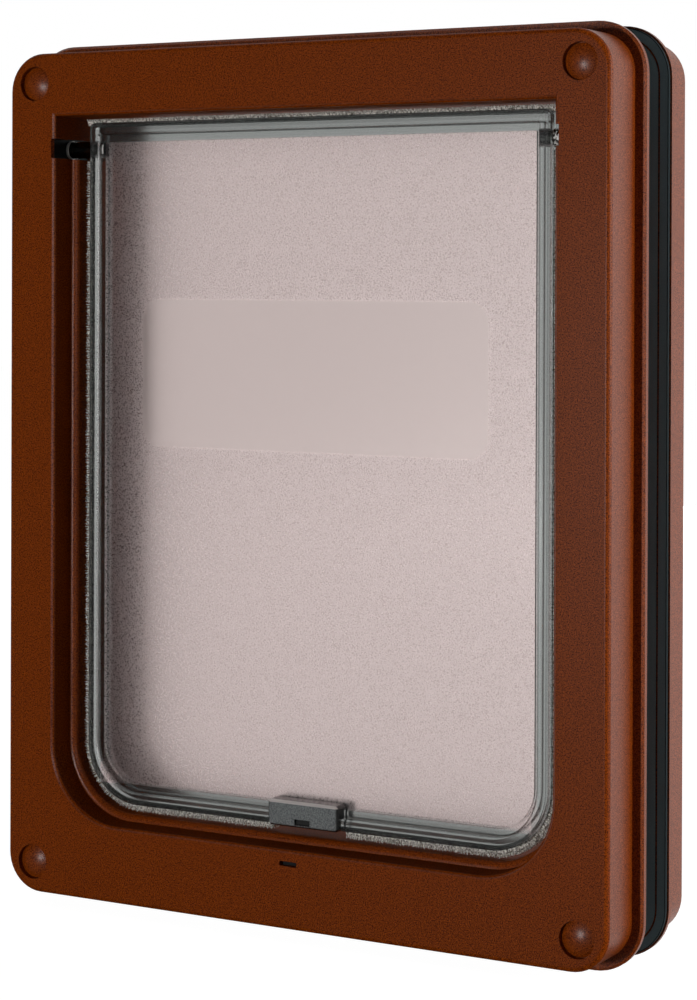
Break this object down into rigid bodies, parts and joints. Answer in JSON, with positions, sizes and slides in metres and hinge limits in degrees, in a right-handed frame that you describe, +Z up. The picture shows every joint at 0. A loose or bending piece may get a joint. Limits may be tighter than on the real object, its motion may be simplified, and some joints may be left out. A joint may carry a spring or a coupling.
{
  "type": "pet door",
  "caption": "Two-way pet door: hollow brown frames clamp a door panel with long screws, and a clear brush-edged flap swings on pins in the front frame.",
  "frame": {"origin": "middle of the frames, half way through the clamped door panel", "axes": "+Z up, -Y out of the front face that carries the flap, X across the door along the hinge line"},
  "size_m": [0.36, 0.092, 0.456],
  "materials": {
    "brown_plastic": "fine moulded grain",
    "foam_seal": "closed-cell foam",
    "screw_steel": "zinc plated",
    "insert_brass": "turned",
    "black_plastic": "moulded",
    "magnet_ferrite": "sintered",
    "clear_plastic": "frosted panel, clear rim",
    "polished_steel": "polished",
    "brush_pile": "dense pile",
    "smoked_plastic": "smoked"
  },
  "bodies": {
    "frame": {"front_frame": "brown_plastic", "back_frame": "brown_plastic", "front_seal": "foam_seal", "back_seal": "foam_seal", "tunnel_liner": "brown_plastic", "screw_caps": "brown_plastic", "clamp_screws": "screw_steel", "threaded_inserts": "insert_brass", "hinge_block_left": "black_plastic", "hinge_block_right": "black_plastic", "sill_tray": "black_plastic", "sill_magnet": "magnet_ferrite"},
    "flap": {"flap": "clear_plastic", "hinge_pin_left": "polished_steel", "hinge_pin_right": "polished_steel", "brush_top": "brush_pile", "brush_left": "brush_pile", "brush_right": "brush_pile", "magnet_holder_front": "smoked_plastic", "magnet_holder_back": "smoked_plastic", "flap_magnets": "magnet_ferrite", "holder_screws": "screw_steel"}
  },
  "joints": [
    {"name": "flap_swing", "type": "hinge", "parent": "frame", "child": "flap", "pos_m": [0, -0.022, 0.172], "axis": [1, 0, 0], "range_deg": [-90, 90]}
  ]
}
